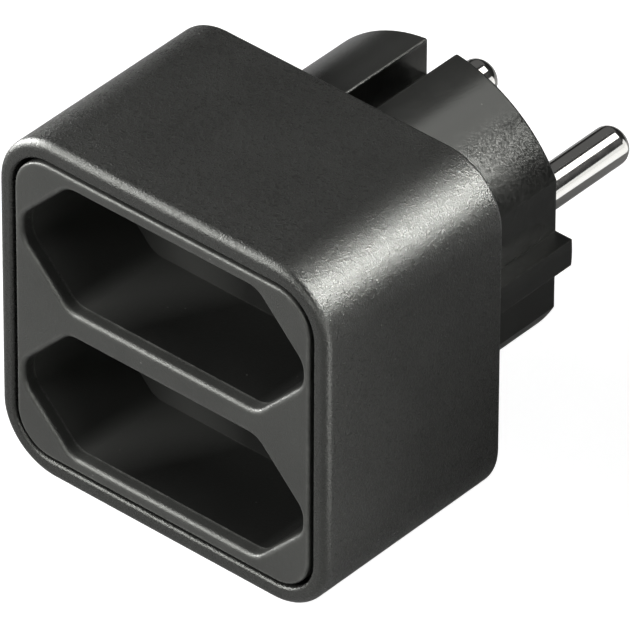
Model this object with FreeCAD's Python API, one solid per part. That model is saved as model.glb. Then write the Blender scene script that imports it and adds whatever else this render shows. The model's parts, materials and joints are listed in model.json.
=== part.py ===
import FreeCAD, Part
import math
import os

os.makedirs("parts", exist_ok=True)
V = FreeCAD.Vector

# Frame: the origin is the middle of the plug's end face, between the pins.
# +Y points out of the plug, +Z is up, and the sockets face -Y. Millimetres.

# Housing sleeve, which stands out beyond the plug's collar at the sides and at the top
housing_side_reach = 4.8
housing_top_reach = 3.75
housing_depth = 28.7
housing_corner = 7.7
side_wall = 2.0
top_wall = 2.3
rear_wall = 2.0
front_edge_round = 1.0
rim_inner_round = 0.45
rear_edge_round = 0.45

# Plug collar
plug_height = 17.3
plug_radius = 18.7
plug_flat_cut = 2.1
collar_wall = 1.8
plug_face_wall = 3.5
plug_edge_round = 0.35
key_height = 3.5
key_proud = 0.3
notch_width = 4.0
notch_depth = 4.8
notch_wall = 1.4
flange_thickness = 2.0
pin_boss_radius = 4.2
contact_room = 0.2

# Plug pins
pin_radius = 2.4
pin_length = 19.0
pin_spacing = 19.0
pin_tip_round = 1.7
pin_foot_radius = 2.2
pin_foot_height = 0.1
pin_seat_depth = 0.4
pin_tail_radius = 2.0
pin_tail_length = 10.8
spigot_radius = 1.4
peened_head_radius = 2.1
peened_head_height = 0.5

# Front cover and its two windows
cover_gap = 0.45
cover_thickness = 1.8
cover_corner = 4.8
cover_edge_round = 0.35
window_side_margin = 1.05
window_top_margin = 1.65
window_web = 3.3
window_slant_width = 6.55
window_end_half_height = 1.5
window_corner = 2.8
window_edge_round = 0.55

# Socket cups
cup_wall = 1.3
cup_floor = 2.0
cup_post_gap = 0.3
socket_hole_radius = 2.25
socket_hole_spacing = 19.0

# Shutters, their frame and springs
shutter_thickness = 4.0
shutter_rail = 1.2
shutter_end = 1.0
shutter_web = 0.7
shutter_cover_margin = 0.15
shutter_play = 0.2
frame_back = 1.0
frame_side_gap = 0.3
spring_wire = 0.4
spring_radius = 1.2
spring_turns = 4
spring_side_gap = 0.3
spring_post_width = 1.0
lug_width = 8.0
lug_height = 0.5
lug_length = 2.0
lug_gap = 0.1

# Contacts
clip_metal = 0.4
clip_half_height = 1.4
clip_root_half_gap = 1.9
clip_neck_half_gap = 1.7
clip_mouth_half_gap = 2.3
clip_neck_back = 1.8
clip_window_gap = 0.3
clip_front_gap = 0.4
strip_thickness = 0.6
strip_half_width = 1.9
strip_end_reach = 1.4
rivet_radius = 0.9
rivet_head_radius = 1.4
rivet_head_height = 0.5
carrier_thickness = 3.3

# Cartridge screws
screw_radius = 1.0
screw_head_radius = 1.6
screw_head_height = 1.2
screw_slot_width = 0.5
screw_slot_depth = 0.6
screw_grip = 8.0
post_radius = 1.7
post_inset = 3.1

# Clearances
fit_gap = 0.02
seat_gap = 0.1

# Places along Y, from the front face to the pin tips
rear_face = -plug_height
front_face = rear_face - housing_depth
wall_inside = rear_face - rear_wall
flange_front = wall_inside - flange_thickness
carrier_front = flange_front - carrier_thickness
pocket_back = carrier_front - frame_back
shutter_back = pocket_back - shutter_play
shutter_front = shutter_back - shutter_thickness
floor_back = shutter_front - shutter_play
floor_front = floor_back - cup_floor
cover_back = front_face + cover_thickness
strip_back = -pin_tail_length
strip_front = strip_back - strip_thickness

# Sleeve, and half sizes of the space inside it
housing_width = 2 * (plug_radius + housing_side_reach)
housing_height = 2 * (plug_radius + housing_top_reach)
pocket_x = housing_width / 2 - side_wall
pocket_z = housing_height / 2 - top_wall
pocket_corner = cover_corner + cover_gap
inner_x = pocket_x - frame_side_gap
inner_z = pocket_z - frame_side_gap
inner_corner = pocket_corner - frame_side_gap
cover_x = pocket_x - cover_gap
cover_z = pocket_z - cover_gap
post_x = pocket_x - post_inset
post_z = pocket_z - post_inset

# Window outline about a socket's own centre, and the two centres
window_half_width = cover_x - window_side_margin
window_half_height = (cover_z - window_top_margin - window_web / 2) / 2
window_flat_half_width = window_half_width - window_slant_width
socket_pitch = 2 * window_half_height + window_web
socket_heights = {"upper": socket_pitch / 2, "lower": -socket_pitch / 2}

# Plug outline
plug_flat = plug_radius - plug_flat_cut
key_reach = plug_radius + key_proud
notch_floor = plug_radius - notch_depth
pin_sides = {"left": -pin_spacing / 2, "right": pin_spacing / 2}

# Shutter travel and its ends, on a socket's own centre line
hole_x = socket_hole_spacing / 2
blade_half = socket_hole_radius + shutter_cover_margin
shutter_travel = 2 * blade_half
shutter_left = -hole_x - blade_half - shutter_travel - shutter_end
shutter_right = hole_x + blade_half + shutter_end
shutter_half_height = blade_half + shutter_rail
pocket_left = shutter_left - shutter_play
pocket_right = shutter_right + shutter_travel + shutter_play

# Spring slot in the middle of a shutter, and the tray's post at its right end
slot_left = -hole_x + blade_half + shutter_web
slot_right = hole_x - blade_half - shutter_travel - shutter_web
slot_half_height = spring_radius + spring_wire / 2 + spring_side_gap
spring_post_right = slot_right - shutter_play
spring_post_left = spring_post_right - spring_post_width


def block(x0, x1, y0, y1, z0, z1):
    """Rectangular block between two corners."""
    return Part.makeBox(x1 - x0, y1 - y0, z1 - z0, V(x0, y0, z0))


def rod(radius, y0, y1, x=0.0, z=0.0):
    """Cylinder along Y."""
    return Part.makeCylinder(radius, y1 - y0, V(x, y0, z), V(0, 1, 0))


def edges_along_y(shape):
    """Straight edges that run along Y."""
    found = []
    for edge in shape.Edges:
        run = edge.lastVertex().Point - edge.firstVertex().Point
        if abs(run.y) > 0.99 * edge.Length:
            found.append(edge)
    return found


def edges_at_y(shape, y):
    """Edges that lie in the plane at y."""
    box_of = [(edge, edge.BoundBox) for edge in shape.Edges]
    return [edge for edge, box in box_of if abs(box.YMin - y) < 1e-4 and abs(box.YMax - y) < 1e-4]


def mouth_edges(shape, y, hollow):
    """Edges in the plane at y where a hollow that was cut from shape opens."""
    return [edge for edge in edges_at_y(shape, y) if edge.distToShape(hollow)[0] < 1e-4]


def rounded_prism(half_x, half_z, corner, y0, y1):
    """Block along Y with rounded long edges."""
    prism = block(-half_x, half_x, y0, y1, -half_z, half_z)
    return prism.makeFillet(corner, edges_along_y(prism))


def socket_prism(grow, y0, y1, z):
    """Long hexagon with blunt ends: the window's outline, larger by grow on all sides."""
    slope = math.atan2(window_half_height - window_end_half_height,
                       window_half_width - window_flat_half_width)
    half_x = window_half_width + grow
    half_z = window_half_height + grow
    flat_x = window_flat_half_width + grow * math.tan(slope / 2)
    end_z = window_end_half_height + grow * math.tan(math.pi / 4 - slope / 2)
    quarter = [(flat_x, half_z), (half_x, end_z)]
    right = quarter + [(x, -z_up) for x, z_up in reversed(quarter)]
    outline = right + [(-x, z_up) for x, z_up in reversed(right)]
    points = [V(x, y0, z + z_up) for x, z_up in outline]
    prism = Part.Face(Part.makePolygon(points + points[:1])).extrude(V(0, y1 - y0, 0))
    return prism.makeFillet(window_corner + grow, edges_along_y(prism))


def drilled(shape, radius, places, y0, y1):
    """Shape with round holes along Y."""
    for x, z in places:
        shape = shape.cut(rod(radius, y0, y1, x, z))
    return shape


def screw_places():
    """Centres of the four cartridge screws."""
    return [(sx * post_x, sz * post_z) for sx in (-1, 1) for sz in (-1, 1)]


def collar_outline(inset, y0, y1):
    """Round plug collar with its two side flats, moved in by inset."""
    round_part = rod(plug_radius - inset, y0, y1)
    flat = plug_flat - inset
    return round_part.common(block(-flat, flat, y0, y1, -plug_radius, plug_radius))


def notch(grow, y0, y1, side):
    """Slot for an earth clip at the top or bottom of the collar, larger by grow."""
    half = notch_width / 2 + grow
    near = notch_floor - grow
    z0, z1 = sorted((side * near, side * (plug_radius + 1)))
    return block(-half, half, y0, y1, z0, z1)


def notch_rims(shape):
    """Long edges where the notches open in the collar's round side."""
    places = [(edge, edge.CenterOfMass) for edge in edges_along_y(shape)]
    return [edge for edge, at in places
            if abs(abs(at.x) - notch_width / 2) < 1e-4 and abs(at.z) > notch_floor + plug_edge_round]


def guide_keys(y0, y1):
    """Key in the middle of each side flat."""
    bar = block(-key_reach, key_reach, y0, y1, -key_height / 2, key_height / 2)
    inside = block(-plug_flat + collar_wall, plug_flat - collar_wall, y0, y1, -key_height, key_height)
    return bar.common(rod(key_reach, y0, y1)).cut(inside)


def housing():
    """Sleeve with a rear wall that the plug collar passes through."""
    outer = rounded_prism(housing_width / 2, housing_height / 2, housing_corner, front_face, rear_face)
    outer = outer.makeFillet(front_edge_round, edges_at_y(outer, front_face))
    outer = outer.makeFillet(rear_edge_round, edges_at_y(outer, rear_face))
    pocket = rounded_prism(pocket_x, pocket_z, pocket_corner, front_face, wall_inside)
    shell = outer.cut(pocket)
    shell = shell.makeFillet(rim_inner_round, mouth_edges(shell, front_face, pocket))
    collar = collar_outline(-fit_gap, wall_inside, rear_face)
    keys = guide_keys(wall_inside, rear_face)
    shell = shell.cut(collar).cut(keys)
    reach = pocket_x + lug_height + lug_gap
    y0 = pocket_back - lug_length - lug_gap
    half = lug_width / 2 + lug_gap
    return shell.cut(block(-reach, reach, y0, pocket_back + lug_gap, -half, half))


def plug_body():
    """Contour plug: collar, end face, pin bosses and the flange that seats on the rear wall."""
    solid = collar_outline(0, wall_inside, 0).fuse(guide_keys(wall_inside, 0)).removeSplitter()
    for side in (-1, 1):
        solid = solid.cut(notch(0, wall_inside, 0, side))
    solid = solid.makeFillet(plug_edge_round, edges_at_y(solid, 0) + notch_rims(solid))
    hollow = collar_outline(collar_wall, flange_front, -plug_face_wall)
    for side in (-1, 1):
        hollow = hollow.cut(notch(notch_wall, flange_front, -plug_face_wall, side))
    half_x = clip_root_half_gap + clip_metal + contact_room
    reach = socket_pitch / 2 + clip_half_height + contact_room
    room_end = strip_back + rivet_head_height + contact_room
    for x in pin_sides.values():
        hollow = hollow.fuse(block(x - half_x, x + half_x, flange_front, room_end, -reach, reach))
    flange = rounded_prism(inner_x, inner_z, inner_corner, flange_front, wall_inside)
    solid = solid.fuse(flange).cut(hollow)
    for x in pin_sides.values():
        solid = solid.fuse(rod(pin_boss_radius, strip_back, -plug_face_wall, x))
    pin_places = [(x, 0) for x in pin_sides.values()]
    solid = drilled(solid, pin_tail_radius + fit_gap, pin_places, wall_inside, 0)
    solid = drilled(solid, pin_radius + fit_gap, pin_places, -pin_seat_depth, 0)
    solid = drilled(solid, screw_radius + fit_gap, screw_places(), flange_front, wall_inside)
    seat = wall_inside - screw_head_height - seat_gap
    solid = drilled(solid, screw_head_radius + seat_gap, screw_places(), seat, wall_inside)
    return solid.removeSplitter()


def front_cover():
    """Face plate with two windows and four screw posts."""
    plate = rounded_prism(cover_x, cover_z, cover_corner, front_face, cover_back)
    plate = plate.makeFillet(cover_edge_round, edges_at_y(plate, front_face))
    for z in socket_heights.values():
        window = socket_prism(0, front_face, cover_back, z)
        plate = plate.cut(window)
        plate = plate.makeFillet(window_edge_round, mouth_edges(plate, front_face, window))
    for x, z in screw_places():
        plate = plate.fuse(rod(post_radius, cover_back, floor_back, x, z))
    pilot = floor_back - screw_grip - fit_gap
    return drilled(plate, screw_radius + fit_gap, screw_places(), pilot, floor_back).removeSplitter()


def socket_cup(z):
    """Recess for one flat plug: its wall carries on from the window's and ends in a holed floor."""
    cup = socket_prism(cup_wall, cover_back, floor_back, z)
    cup = drilled(cup, post_radius + cup_post_gap, screw_places(), cover_back, floor_back)
    cup = cup.cut(socket_prism(0, cover_back, floor_front, z))
    return drilled(cup, socket_hole_radius, [(-hole_x, z), (hole_x, z)], floor_front, floor_back)


def shutter_frame():
    """Tray behind the cups: a slide pocket and a spring post for each shutter, and two snap lugs."""
    tray = rounded_prism(inner_x, inner_z, inner_corner, floor_back, carrier_front)
    half = shutter_half_height + shutter_play
    for z in socket_heights.values():
        tray = tray.cut(block(pocket_left, pocket_right, floor_back, pocket_back, z - half, z + half))
        places = [(-hole_x, z), (hole_x, z)]
        tray = drilled(tray, blade_half, places, pocket_back, carrier_front)
        post_half = slot_half_height - shutter_play
        post = block(spring_post_left, spring_post_right, shutter_front, pocket_back, z - post_half, z + post_half)
        tray = tray.fuse(post)
    for side in (-1, 1):
        x0, x1 = sorted((side * inner_x, side * (pocket_x + lug_height)))
        lug = block(x0, x1, pocket_back - lug_length, pocket_back, -lug_width / 2, lug_width / 2)
        front = [edge for edge in lug.Edges if abs(edge.CenterOfMass.x - side * (pocket_x + lug_height)) < 1e-4
                 and abs(edge.CenterOfMass.y - pocket_back) < 1e-4]
        tray = tray.fuse(lug.makeChamfer(lug_height, front))
    return drilled(tray, screw_radius + fit_gap, screw_places(), floor_back, carrier_front)


def shutter(z):
    """Slider that covers both pin holes; its ramps let two pins push it aside together."""
    bar = block(shutter_left, shutter_right, shutter_front, shutter_back,
                z - shutter_half_height, z + shutter_half_height)
    for x in (-hole_x, hole_x):
        left = x - blade_half - shutter_travel
        corners = [(left, shutter_front), (x + blade_half, shutter_front),
                   (x + blade_half - shutter_travel, shutter_back), (left, shutter_back)]
        points = [V(px, py, z - blade_half) for px, py in corners]
        opening = Part.Face(Part.makePolygon(points + points[:1])).extrude(V(0, 0, 2 * blade_half))
        bar = bar.cut(opening)
    half = slot_half_height
    return bar.cut(block(slot_left, slot_right, shutter_front, shutter_back, z - half, z + half))


def arc_between(start, tangent, end):
    """Arc from start to end that leaves along tangent."""
    chord = end - start
    across = chord - tangent * chord.dot(tangent)
    radius = chord.Length ** 2 / (2 * across.Length)
    centre = start + across.normalize() * radius
    middle = centre + ((start + end) * 0.5 - centre).normalize() * radius
    return Part.Arc(start, middle, end).toShape()


def coil_wire(radius, length, turns, origin):
    """Helix along X as two tangent arcs in each quarter turn."""
    quarters = 4 * turns
    rise = length / quarters
    pitch_angle = math.atan2(rise, radius * math.pi / 2)
    ends = []
    for step in range(quarters + 1):
        angle = step * math.pi / 2
        point = origin + V(step * rise, radius * math.cos(angle), radius * math.sin(angle))
        around = V(0, -math.sin(angle), math.cos(angle)) * math.cos(pitch_angle)
        ends.append((point, around + V(math.sin(pitch_angle), 0, 0)))
    arcs = []
    for (p0, t0), (p1, t1) in zip(ends, ends[1:]):
        span, turn = p1 - p0, t0 + t1
        a, b, c = 2 * (1 - t0.dot(t1)), 2 * span.dot(turn), -span.dot(span)
        reach = (math.sqrt(b * b - 4 * a * c) - b) / (2 * a)
        joint = (p0 + t0 * reach + p1 - t1 * reach) * 0.5
        arcs.append(arc_between(p0, t0, joint))
        arcs.append(arc_between(joint, (p1 - t1 * reach - joint).normalize(), p1))
    return Part.Wire(arcs), ends[0]


def shutter_spring(z):
    """Compression spring in a shutter's slot, from the slot's left end to the tray's post."""
    gap = fit_gap + spring_wire / 2
    length = spring_post_left - slot_left - 2 * gap
    middle = (shutter_front + shutter_back) / 2
    path, (start, tangent) = coil_wire(spring_radius, length, spring_turns, V(slot_left + gap, middle, z))
    section = Part.Wire(Part.Circle(start, tangent, spring_wire / 2).toShape())
    return path.makePipeShell([section], True, False)


def plug_pin(x):
    """Turned pin with a rounded tip, a foot and tail in the plug, and a spigot peened over the strip."""
    shank = rod(pin_radius, pin_foot_height, pin_length, x)
    shank = shank.makeFillet(pin_tip_round, edges_at_y(shank, pin_length))
    shank = shank.fuse(rod(pin_foot_radius, -pin_seat_depth, pin_foot_height, x))
    shank = shank.fuse(rod(pin_tail_radius, strip_back, -pin_seat_depth, x))
    spigot = rod(spigot_radius, strip_front, strip_back, x)
    head = rod(peened_head_radius, strip_front - peened_head_height, strip_front, x)
    return shank.fuse(spigot).fuse(head).removeSplitter()


def contact_strip(x):
    """Flat strip that joins a pin to the clips above and below it."""
    reach = socket_pitch / 2 + strip_end_reach
    strip = block(x - strip_half_width, x + strip_half_width, strip_front, strip_back, -reach, reach)
    strip = strip.makeFillet(strip_half_width / 2, edges_along_y(strip))
    strip = drilled(strip, spigot_radius + fit_gap, [(x, 0)], strip_front, strip_back)
    places = [(x, z) for z in socket_heights.values()]
    return drilled(strip, rivet_radius + fit_gap, places, strip_front, strip_back)


def contact_clip(x, z):
    """U-shaped clip whose two leaves pinch an inserted pin."""
    root = strip_front - clip_metal
    mouth = carrier_front + clip_front_gap
    neck = mouth + clip_neck_back
    inner = [(clip_root_half_gap, root), (clip_neck_half_gap, neck), (clip_mouth_half_gap, mouth)]
    outer = [(px + clip_metal, py) for px, py in inner]
    base_x = clip_root_half_gap + clip_metal
    clip = block(x - base_x, x + base_x, root, strip_front, z - clip_half_height, z + clip_half_height)
    for side in (-1, 1):
        points = [V(x + side * px, py, z - clip_half_height) for px, py in inner + outer[::-1]]
        leaf = Part.Face(Part.makePolygon(points + points[:1])).extrude(V(0, 0, 2 * clip_half_height))
        clip = clip.fuse(leaf)
    return drilled(clip, rivet_radius + fit_gap, [(x, z)], root, strip_front).removeSplitter()


def clip_rivets():
    """One rivet through each clip and its strip."""
    rivets = []
    root = strip_front - clip_metal
    for x in pin_sides.values():
        for z in socket_heights.values():
            shank = rod(rivet_radius, root, strip_back, x, z)
            for y in (root - rivet_head_height, strip_back):
                shank = shank.fuse(rod(rivet_head_radius, y, y + rivet_head_height, x, z))
            rivets.append(shank.removeSplitter())
    return Part.makeCompound(rivets)


def contact_carrier():
    """Insulating plate that keeps the clips in line with the pin holes."""
    plate = rounded_prism(inner_x, inner_z, inner_corner, carrier_front, flange_front)
    half_x = clip_mouth_half_gap + clip_metal + clip_window_gap
    half_z = clip_half_height + clip_window_gap
    for x in (-hole_x, hole_x):
        for z in socket_heights.values():
            window = block(x - half_x, x + half_x, carrier_front, flange_front, z - half_z, z + half_z)
            plate = plate.cut(window)
    return drilled(plate, screw_radius + fit_gap, screw_places(), carrier_front, flange_front)


def cartridge_screws():
    """Screws that clamp the flange, carrier, tray and cups to the front cover's posts."""
    screws = []
    seat = wall_inside - screw_head_height - seat_gap
    for x, z in screw_places():
        shank = rod(screw_radius, floor_back - screw_grip, seat, x, z)
        head = rod(screw_head_radius, seat, seat + screw_head_height, x, z)
        top = seat + screw_head_height
        half = screw_slot_width / 2
        slot = block(x - screw_head_radius, x + screw_head_radius, top - screw_slot_depth, top, z - half, z + half)
        screws.append(shank.fuse(head).cut(slot).removeSplitter())
    return Part.makeCompound(screws)


def all_pieces():
    """Every piece under its node name."""
    pieces = {"housing": housing(), "plug_body": plug_body(), "front_cover": front_cover(),
              "shutter_frame": shutter_frame(), "contact_carrier": contact_carrier(),
              "clip_rivets": clip_rivets(), "cartridge_screws": cartridge_screws()}
    for name, z in socket_heights.items():
        pieces["socket_cup_" + name] = socket_cup(z)
        pieces["shutter_" + name] = shutter(z)
        pieces["shutter_spring_" + name] = shutter_spring(z)
    for side, x in pin_sides.items():
        pieces["plug_pin_" + side] = plug_pin(x)
        pieces["contact_strip_" + side] = contact_strip(x)
        for name, z in socket_heights.items():
            pieces["contact_clip_" + name + "_" + side] = contact_clip(x, z)
    return pieces


for name, shape in all_pieces().items():
    print(name, len(shape.Solids), "solid", "valid" if shape.isValid() else "invalid", round(shape.Volume, 1))
    shape.exportStep(os.path.join("parts", name + ".step"))
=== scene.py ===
import bpy
import json
import math
from collections import namedtuple
from mathutils import Matrix, Vector

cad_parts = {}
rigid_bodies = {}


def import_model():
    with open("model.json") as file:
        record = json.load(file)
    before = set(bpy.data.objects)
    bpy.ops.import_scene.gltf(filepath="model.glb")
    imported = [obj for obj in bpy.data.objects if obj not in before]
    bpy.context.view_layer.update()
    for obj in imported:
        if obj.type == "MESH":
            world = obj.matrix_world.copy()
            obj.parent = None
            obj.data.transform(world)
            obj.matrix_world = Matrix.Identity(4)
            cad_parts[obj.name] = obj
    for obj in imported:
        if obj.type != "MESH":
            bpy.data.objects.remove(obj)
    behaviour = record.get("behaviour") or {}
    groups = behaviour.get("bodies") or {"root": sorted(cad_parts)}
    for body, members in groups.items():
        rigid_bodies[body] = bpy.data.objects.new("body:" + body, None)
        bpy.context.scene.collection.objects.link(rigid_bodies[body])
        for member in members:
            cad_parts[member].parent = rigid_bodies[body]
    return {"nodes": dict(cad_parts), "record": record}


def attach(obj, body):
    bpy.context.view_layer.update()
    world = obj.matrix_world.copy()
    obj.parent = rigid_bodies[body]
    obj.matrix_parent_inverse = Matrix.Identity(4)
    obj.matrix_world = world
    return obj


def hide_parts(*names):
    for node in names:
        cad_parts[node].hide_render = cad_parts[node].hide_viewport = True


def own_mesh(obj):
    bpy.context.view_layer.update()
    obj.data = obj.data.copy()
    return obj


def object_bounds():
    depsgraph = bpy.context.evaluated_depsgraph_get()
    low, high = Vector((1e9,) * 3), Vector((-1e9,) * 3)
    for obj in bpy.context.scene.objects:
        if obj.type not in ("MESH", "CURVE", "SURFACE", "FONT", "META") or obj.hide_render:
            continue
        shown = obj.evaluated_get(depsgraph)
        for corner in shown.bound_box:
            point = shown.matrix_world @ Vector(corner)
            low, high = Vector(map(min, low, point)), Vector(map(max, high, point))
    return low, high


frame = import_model()
cad_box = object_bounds()

NODES = frame["nodes"]
RECORD = frame["record"]

# The camera stands where the photographer's stood: degrees and metres about a point inside the
# housing. The lens is in millimetres.
CAMERA_AZIMUTH = 40.99
CAMERA_ELEVATION = 37.09
CAMERA_ROLL = 0.256
CAMERA_DISTANCE = 1.3297
CAMERA_AIM = Vector((0.00534, -0.02704, -0.00015))
CAMERA_LENS = 704.2
CAMERA_SENSOR = 36.0
CAMERA_NEAREST = 0.05

# Azimuth and elevation are seen from the object in degrees, and sizes are in metres. A softbox that
# fills lights dull surfaces too, and the others only show in the gloss.
Softbox = namedtuple("Softbox", "azimuth elevation distance width height radiance fills")
SOFTBOXES = {
    "key_softbox": Softbox(-60.0, 50.0, 0.60, 0.30, 0.30, 5.4, fills=True),
    "front_softbox": Softbox(-34.0, 26.0, 0.60, 0.30, 0.30, 14.5, fills=True),
    "side_strip": Softbox(68.2, 0.0, 0.0485, 0.06, 0.012, 5.7, fills=True),
    "rim_softbox": Softbox(124.6, 40.0, 0.271, 0.10, 0.0585, 114.0, fills=False),
    "upper_back_panel": Softbox(160.0, 51.0, 0.35, 0.15, 0.15, 2.4, fills=False),
    "top_panel": Softbox(180.0, 68.0, 0.40, 0.20, 0.20, 1.9, fills=False),
    "left_back_panel": Softbox(-139.0, 37.0, 0.50, 0.40, 0.40, 0.09, fills=False),
    "left_softbox": Softbox(-85.0, 32.0, 0.30, 0.16, 0.14, 7.5, fills=False),
    "low_left_softbox": Softbox(-85.0, 12.0, 0.25, 0.12, 0.16, 26.0, fills=False),
    "camera_side_panel": Softbox(34.0, 18.0, 0.50, 0.15, 0.15, 14.0, fills=False),
    "low_back_card": Softbox(148.0, -8.0, 0.085, 0.05, 0.06, 1.0, fills=False),
}
ROOM_LIGHT = 0.02
FLOOR_HALF_WIDTH = 2.0
FLOOR_GREY = 0.46
FLOOR_GLOW = 0.93
FLOOR_GLOW_IN_GLOSS = 0.02
WHITE = (1.0, 1.0, 1.0, 1.0)

# Plastic: how far its tone wanders, how much of the edges' lighter tone (rubbing and a painted
# highlight) and of the specks' tone shows, how much smoother the rubbed edges are, and how far the
# grain's glints change the roughness
TONE_SPREAD = 0.12
RUBBED_AND_SHEEN_SHARE = 0.7
SPECK_SHARE = 0.5
RUBBED_SMOOTHING = 0.06
GLINT_SPREAD = 0.05
PLASTIC_IOR = 1.55
PLASTIC_TINT = (0.985, 1.0, 0.935)

# Metal: how much of the dull colour shows, and how much rougher the rubbed edges are
DULL_SHARE = 0.35
RUBBED_ROUGHENING = 0.05

# Where a recess's painted tone starts and ends, which stands in for shade and light there: metres of
# Across * x + Depth * y
PaintedRecessFade = namedtuple("PaintedRecessFade", "Across Depth From To")
# Painted shade: the cover's window walls behind its face are painted darker.
COVER_BACK_PAINTED_SHADE = PaintedRecessFade(0.0, 1.0, -0.0436, -0.0432)
# Painted light: the cups' left ends, which face away from the lamps, are painted lighter.
CUP_LEFT_END_PAINTED_LIGHT = PaintedRecessFade(-1.0, 0.5, -0.016, 0.003)

# Sockets of Blender's colour mix node, which has sockets of the same names for other data
MIX_FACTOR, MIX_FIRST, MIX_SECOND, MIX_RESULT = 0, 6, 7, 2


def direction(azimuth, elevation):
    """Unit vector towards a viewer at that azimuth and elevation; azimuth 0 is the socket side."""
    turn, rise = math.radians(azimuth), math.radians(elevation)
    return Vector((math.sin(turn) * math.cos(rise), -math.cos(turn) * math.cos(rise), math.sin(rise)))


def placed_at(point, side, top, back):
    """World matrix of a thing at a point, from its own three directions."""
    return Matrix.Translation(point) @ Matrix((side, top, back)).transposed().to_4x4()


class Graph:
    """A node tree with short calls for adding nodes and links."""

    def __init__(self, tree):
        self.tree = tree

    def add(self, kind, settings=None, **inputs):
        """New node of that kind, with its own settings and a value or link on each named input."""
        node = self.tree.nodes.new(kind)
        for name, value in (settings or {}).items():
            setattr(node, name, value)
        for name, value in inputs.items():
            self.put(node.inputs[name], value)
        return node

    def put(self, socket, value):
        """Links a socket to another node's output, or sets its value."""
        if isinstance(value, bpy.types.NodeSocket):
            self.tree.links.new(value, socket)
        else:
            socket.default_value = value

    def maths(self, operation, first, second, clamp=False):
        node = self.add("ShaderNodeMath", {"operation": operation, "use_clamp": clamp})
        self.put(node.inputs[0], first)
        self.put(node.inputs[1], second)
        return node.outputs[0]

    def remap(self, value, low, high, new_low, new_high):
        """A value's place between low and high, moved to its place between the new ends."""
        node = self.add("ShaderNodeMapRange")
        for name, given in zip(("Value", "From Min", "From Max", "To Min", "To Max"),
                               (value, low, high, new_low, new_high)):
            self.put(node.inputs[name], given)
        return node.outputs["Result"]

    def noise(self, vector, scale, detail, roughness):
        node = self.add("ShaderNodeTexNoise", Vector=vector, Scale=scale, Detail=detail,
                        Roughness=roughness)
        return node.outputs["Fac"]

    def mix(self, factor, first, second):
        """Blend of two colours."""
        node = self.add("ShaderNodeMix", {"data_type": "RGBA"})
        self.put(node.inputs[MIX_FACTOR], factor)
        self.put(node.inputs[MIX_FIRST], first)
        self.put(node.inputs[MIX_SECOND], second)
        return node.outputs[MIX_RESULT]

    def place(self):
        """Place on the object, in metres."""
        return self.add("ShaderNodeTexCoord").outputs["Object"]

    def effect(self, name, **values):
        """Outputs of a shared effect, with its own values; a socket's spaces are underscores here."""
        node = self.add("ShaderNodeGroup", {"node_tree": EFFECTS[name]})
        for socket, value in values.items():
            self.put(node.inputs[socket.replace("_", " ")], value)
        return node.outputs


def shared_effect(name, build, inputs, outputs):
    """Shader node group of named numbers, filled in by build(graph, group inputs)."""
    tree = bpy.data.node_groups.new(name, "ShaderNodeTree")
    for socket, value in inputs.items():
        made = tree.interface.new_socket(socket, in_out="INPUT", socket_type="NodeSocketFloat")
        made.default_value = value
    for socket in outputs:
        tree.interface.new_socket(socket, in_out="OUTPUT", socket_type="NodeSocketFloat")
    entry = tree.nodes.new("NodeGroupInput")
    results = build(Graph(tree), entry.outputs)
    leave = tree.nodes.new("NodeGroupOutput")
    for socket in outputs:
        tree.links.new(results[socket], leave.inputs[socket])
    return tree


def build_spark_grain(graph, given):
    """Fine pits of a spark-eroded mould, with slow changes in their depth."""
    place = graph.place()
    fine = graph.noise(place, given["Pits per metre"], 3.0, 0.62)
    coarse = graph.noise(place, graph.maths("MULTIPLY", given["Pits per metre"], 0.4), 2.0, 0.5)
    height = graph.maths("ADD", graph.maths("MULTIPLY", fine, 0.65),
                         graph.maths("MULTIPLY", coarse, 0.35))
    glint = graph.remap(height, 0.42, 0.6, 0.0, 1.0)
    return {"Height": height, "Glint": glint}


def build_edge_wear(graph, given):
    """Mask of edges rubbed smooth, broken up by noise; on the plastics it also carries a painted
    highlight.
    """
    bevel = graph.add("ShaderNodeBevel", {"samples": 4}, Radius=given["Width"])
    normal = graph.add("ShaderNodeNewGeometry").outputs["Normal"]
    likeness = graph.add("ShaderNodeVectorMath", {"operation": "DOT_PRODUCT"})
    graph.put(likeness.inputs[0], bevel.outputs["Normal"])
    graph.put(likeness.inputs[1], normal)
    edge = graph.remap(likeness.outputs["Value"], 0.998, 0.93, 0.0, 1.0)
    breaks = graph.noise(graph.place(), given["Breaks per metre"], 3.0, 0.6)
    breaks = graph.remap(breaks, 0.35, 0.65, 0.25, 1.0)
    return {"Wear": graph.maths("MULTIPLY", edge, breaks, clamp=True)}


def build_mottle(graph, given):
    """Slow unevenness of a moulded or plated skin, from 0 to 1."""
    broad = graph.noise(graph.place(), given["Patches per metre"], 4.0, 0.55)
    return {"Mottle": graph.remap(broad, 0.3, 0.7, 0.0, 1.0)}


def build_fine_specks(graph, given):
    """Sparse small light specks, as dust or talc on dark plastic."""
    cells = graph.add("ShaderNodeTexVoronoi", {"feature": "F1"}, Vector=graph.place(),
                      Scale=given["Specks per metre"])
    near = graph.remap(cells.outputs["Distance"], 0.10, 0.05, 0.0, 1.0)
    pick = graph.add("ShaderNodeSeparateColor", Color=cells.outputs["Color"]).outputs[0]
    rare = graph.maths("GREATER_THAN", pick, 0.86)
    return {"Specks": graph.maths("MULTIPLY", near, rare, clamp=True)}


def build_turning_lines(graph, given):
    """Faint rings left round a turned pin, and rubs across them."""
    place = graph.add("ShaderNodeSeparateXYZ", Vector=graph.place()).outputs
    along = graph.maths("MULTIPLY", place["Y"], given["Rings per metre"])
    rings = graph.noise(graph.add("ShaderNodeCombineXYZ", Y=along).outputs[0], 1.0, 2.0, 0.5)
    rubs = graph.noise(graph.place(), given["Rubs per metre"], 3.0, 0.6)
    return {"Height": graph.maths("ADD", graph.maths("MULTIPLY", rings, 0.6),
                                  graph.maths("MULTIPLY", rubs, 0.4))}


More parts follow.
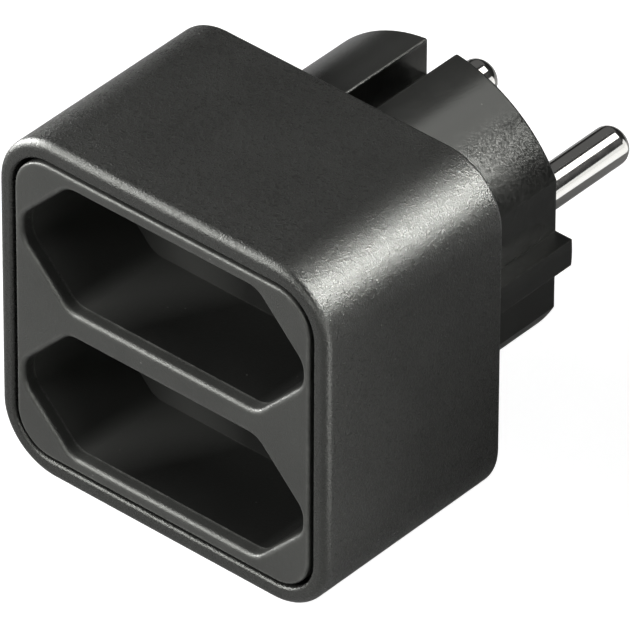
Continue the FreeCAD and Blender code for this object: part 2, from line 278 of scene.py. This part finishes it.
def build_painted_recess_shading(graph, given):
    """Mask that rises from 0 to 1 with the place across the sockets and the depth behind them, where
    a recess tone is painted in for shade and light.
    """
    place = graph.add("ShaderNodeSeparateXYZ", Vector=graph.place()).outputs
    way = graph.maths("ADD", graph.maths("MULTIPLY", place["X"], given["Across"]),
                      graph.maths("MULTIPLY", place["Y"], given["Depth"]))
    return {"Shade": graph.remap(way, given["From"], given["To"], 0.0, 1.0)}


EFFECTS = {
    "spark_grain": shared_effect("spark_grain", build_spark_grain, {"Pits per metre": 5200.0},
                                 ("Height", "Glint")),
    "edge_wear": shared_effect("edge_wear", build_edge_wear,
                               {"Width": 0.0003, "Breaks per metre": 900.0}, ("Wear",)),
    "mottle": shared_effect("mottle", build_mottle, {"Patches per metre": 90.0}, ("Mottle",)),
    "fine_specks": shared_effect("fine_specks", build_fine_specks, {"Specks per metre": 700.0},
                                 ("Specks",)),
    "turning_lines": shared_effect("turning_lines", build_turning_lines,
                                   {"Rings per metre": 9000.0, "Rubs per metre": 900.0},
                                   ("Height",)),
    "painted_recess_shading": shared_effect("painted_recess_shading", build_painted_recess_shading,
                                  COVER_BACK_PAINTED_SHADE._asdict(), ("Shade",)),
}


def new_material(name):
    """Material with an empty graph around its shader."""
    material = bpy.data.materials.new(name)
    material.use_nodes = True
    return material, Graph(material.node_tree), material.node_tree.nodes["Principled BSDF"]


def black_or_grey(tone):
    """The plastics' colour at that tone: grey with a slight olive tint, as in the photograph."""
    return tuple(tone * part for part in PLASTIC_TINT) + (1.0,)


def moulded_plastic(name, tone, rubbed_and_sheen_tone, pits, pit_depth, smoothest, roughest, specular=0.5,
                    rubbed_and_sheen_width=0.0003, painted_recess_tone=None, painted_recess_fade=COVER_BACK_PAINTED_SHADE):
    """Moulded plastic with mould grain, uneven gloss, edges lighter from rubbing and a painted
    highlight, a few specks, and, where a recess tone is given, painted shade (darker) or painted
    light (lighter) in its recesses.
    """
    material, graph, shader = new_material(name)
    mottle = graph.effect("mottle", Patches_per_metre=110.0)["Mottle"]
    wear = graph.effect("edge_wear", Width=rubbed_and_sheen_width)["Wear"]
    specks = graph.effect("fine_specks")["Specks"]
    grain = graph.effect("spark_grain", Pits_per_metre=pits)

    colour = graph.mix(mottle, black_or_grey(tone * (1 - TONE_SPREAD)),
                       black_or_grey(tone * (1 + TONE_SPREAD)))
    # Lighter edge tone: partly real rubbing, partly a painted highlight along the edge rounds.
    colour = graph.mix(graph.maths("MULTIPLY", wear, RUBBED_AND_SHEEN_SHARE), colour,
                       black_or_grey(rubbed_and_sheen_tone))
    colour = graph.mix(graph.maths("MULTIPLY", specks, SPECK_SHARE), colour,
                       black_or_grey(min(1.0, tone * 5 + 0.05)))
    # Painted light and shade: the recess tone stands in for how light falls inside the recesses.
    if painted_recess_tone is not None:
        shade = graph.effect("painted_recess_shading", **painted_recess_fade._asdict())["Shade"]
        colour = graph.mix(shade, colour, black_or_grey(painted_recess_tone))
    graph.put(shader.inputs["Base Color"], colour)

    rough = graph.remap(mottle, 0.0, 1.0, smoothest, roughest)
    rough = graph.maths("SUBTRACT", rough, graph.maths("MULTIPLY", wear, RUBBED_SMOOTHING))
    rough = graph.maths("ADD", rough,
                        graph.remap(grain["Glint"], 0.0, 1.0, GLINT_SPREAD, -GLINT_SPREAD))
    graph.put(shader.inputs["Roughness"], rough)

    shader.inputs["Specular IOR Level"].default_value = specular
    shader.inputs["IOR"].default_value = PLASTIC_IOR
    shader.inputs["Specular Tint"].default_value = black_or_grey(1.0)
    bump = graph.add("ShaderNodeBump", Height=grain["Height"], Strength=1.0, Distance=pit_depth)
    graph.put(shader.inputs["Normal"], bump.outputs["Normal"])
    return material


def bare_metal(name, colour, dull_colour, smoothest, roughest, rings, ring_depth):
    """Plated or bare metal with faint tool lines and rubs."""
    material, graph, shader = new_material(name)
    mottle = graph.effect("mottle", Patches_per_metre=260.0)["Mottle"]
    wear = graph.effect("edge_wear", Width=0.0002)["Wear"]
    lines = graph.effect("turning_lines", Rings_per_metre=rings)["Height"]

    graph.put(shader.inputs["Base Color"],
              graph.mix(graph.maths("MULTIPLY", mottle, DULL_SHARE), (*colour, 1.0),
                        (*dull_colour, 1.0)))
    shader.inputs["Metallic"].default_value = 1.0
    rough = graph.remap(lines, 0.35, 0.65, smoothest, roughest)
    rough = graph.maths("ADD", rough, graph.maths("MULTIPLY", wear, RUBBED_ROUGHENING))
    graph.put(shader.inputs["Roughness"], rough)
    bump = graph.add("ShaderNodeBump", Height=lines, Strength=1.0, Distance=ring_depth)
    graph.put(shader.inputs["Normal"], bump.outputs["Normal"])
    return material


FINISHES = {
    # The rubbed tones are partly real rubbing and partly a painted highlight on the edge rounds; the
    # cover's wider band paints its window lips bright.
    "housing_black": moulded_plastic("housing_black", 0.0185, 0.09, 5000.0, 0.00011, 0.28, 0.31),
    # Painted shade: the cover's window walls behind its face take the darker recess tone.
    "cover_black": moulded_plastic("cover_black", 0.036, 0.20, 6500.0, 0.00007, 0.32, 0.38,
                                   rubbed_and_sheen_width=0.0006, painted_recess_tone=0.012),
    # Painted light: the cups are painted lighter towards their left ends, where they lie in shade.
    "cup_black": moulded_plastic("cup_black", 0.006, 0.03, 6500.0, 0.00002, 0.40, 0.46,
                                 specular=0.24, painted_recess_tone=0.10, painted_recess_fade=CUP_LEFT_END_PAINTED_LIGHT),
    "plug_black": moulded_plastic("plug_black", 0.030, 0.12, 6500.0, 0.00001, 0.17, 0.21,
                                  specular=0.42),
    "inner_grey": moulded_plastic("inner_grey", 0.16, 0.22, 6500.0, 0.00001, 0.42, 0.50),
    "shutter_grey": moulded_plastic("shutter_grey", 0.5, 0.55, 6500.0, 0.00001, 0.38, 0.46),
    "pin_nickel": bare_metal("pin_nickel", (0.80, 0.79, 0.76), (0.70, 0.69, 0.65), 0.06, 0.12,
                             9000.0, 0.0000015),
    "contact_brass": bare_metal("contact_brass", (0.80, 0.62, 0.30), (0.62, 0.46, 0.22), 0.22, 0.34,
                                4000.0, 0.000004),
    "spring_steel": bare_metal("spring_steel", (0.60, 0.60, 0.60), (0.45, 0.45, 0.46), 0.20, 0.30,
                               6000.0, 0.000003),
    "screw_steel": bare_metal("screw_steel", (0.62, 0.63, 0.66), (0.48, 0.49, 0.50), 0.24, 0.36,
                              6000.0, 0.000004),
}


def finish_nodes():
    """Every CAD node takes the finish of its own material slot."""
    for part in RECORD["subparts"]:
        piece = NODES[part["node"]]
        piece.data.materials.clear()
        piece.data.materials.append(FINISHES[part["material_slot"]])


def squeezed_coil(name, node, joint):
    """Copy of a spring's coil, carried by its joint's parent body in place of the spring node, which
    is hidden.
    """
    coil = bpy.data.objects.new(name, NODES[node].data.copy())
    coil.matrix_world = NODES[node].matrix_world
    bpy.context.scene.collection.objects.link(coil)
    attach(coil, joint["parent"])
    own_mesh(coil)
    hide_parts(node)


def make_springs():
    """Coils that stand for the shutters' springs."""
    for joint in RECORD["behaviour"]["joints"]:
        for spring in joint["deforming_nodes"]:
            squeezed_coil(spring["node"].replace("spring", "coil"), spring["node"], joint)


def glow(graph, seen, in_gloss):
    """Strength that only the camera, reflections and clear materials see."""
    path = graph.add("ShaderNodeLightPath").outputs
    mirrored = graph.maths("MAXIMUM", path["Is Glossy Ray"], path["Is Transmission Ray"])
    return graph.maths("ADD", graph.maths("MULTIPLY", path["Is Camera Ray"], seen),
                       graph.maths("MULTIPLY", mirrored, in_gloss))


def make_floor():
    """Pale floor under the housing, bright to the camera, which keeps the object's shadow."""
    level = cad_box[0][2]
    corners = [(x * FLOOR_HALF_WIDTH, y * FLOOR_HALF_WIDTH, level)
               for x, y in ((-1, -1), (1, -1), (1, 1), (-1, 1))]
    mesh = bpy.data.meshes.new("floor")
    mesh.from_pydata(corners, [], [(0, 1, 2, 3)])
    floor = bpy.data.objects.new("floor", mesh)
    bpy.context.scene.collection.objects.link(floor)
    material, graph, shader = new_material("studio_floor")
    shader.inputs["Roughness"].default_value = 1.0
    shader.inputs["Specular IOR Level"].default_value = 0.0
    shader.inputs["Base Color"].default_value = (FLOOR_GREY, FLOOR_GREY, FLOOR_GREY, 1.0)
    shader.inputs["Emission Color"].default_value = WHITE
    graph.put(shader.inputs["Emission Strength"], glow(graph, FLOOR_GLOW, FLOOR_GLOW_IN_GLOSS))
    mesh.materials.append(material)


def make_room():
    """Even grey room light."""
    world = bpy.data.worlds.new("room")
    bpy.context.scene.world = world
    world.use_nodes = True
    background = world.node_tree.nodes["Background"]
    background.inputs["Color"].default_value = WHITE
    background.inputs["Strength"].default_value = ROOM_LIGHT


def make_softboxes():
    """Rectangular softboxes that face the housing, with two edges along the plug's axis."""
    for name, box in SOFTBOXES.items():
        light = bpy.data.lights.new(name, "AREA")
        light.shape = "RECTANGLE"
        light.size = box.width
        light.size_y = box.height
        light.energy = box.radiance * math.pi * box.width * box.height
        lamp = bpy.data.objects.new(name, light)
        lamp.visible_diffuse = box.fills
        lamp.visible_camera = False
        bpy.context.scene.collection.objects.link(lamp)
        away = direction(box.azimuth, box.elevation)
        across = Vector((0, 1, 0)).cross(away).normalized()
        lamp.matrix_world = placed_at(CAMERA_AIM + away * box.distance, across, away.cross(across),
                                      away)


def make_camera():
    """Camera of the photograph."""
    data = bpy.data.cameras.new("camera")
    data.sensor_width = CAMERA_SENSOR
    data.lens = CAMERA_LENS
    data.clip_start = CAMERA_NEAREST
    camera = bpy.data.objects.new("camera", data)
    bpy.context.scene.collection.objects.link(camera)
    back = direction(CAMERA_AZIMUTH, CAMERA_ELEVATION)
    right = Vector((0, 0, 1)).cross(back).normalized()
    up = back.cross(right)
    roll = math.radians(CAMERA_ROLL)
    camera.matrix_world = placed_at(CAMERA_AIM + back * CAMERA_DISTANCE,
                                    right * math.cos(roll) + up * math.sin(roll),
                                    up * math.cos(roll) - right * math.sin(roll), back)
    bpy.context.scene.camera = camera


finish_nodes()
make_springs()
make_floor()
make_room()
make_softboxes()
make_camera()
bpy.context.scene.view_settings.view_transform = "Standard"
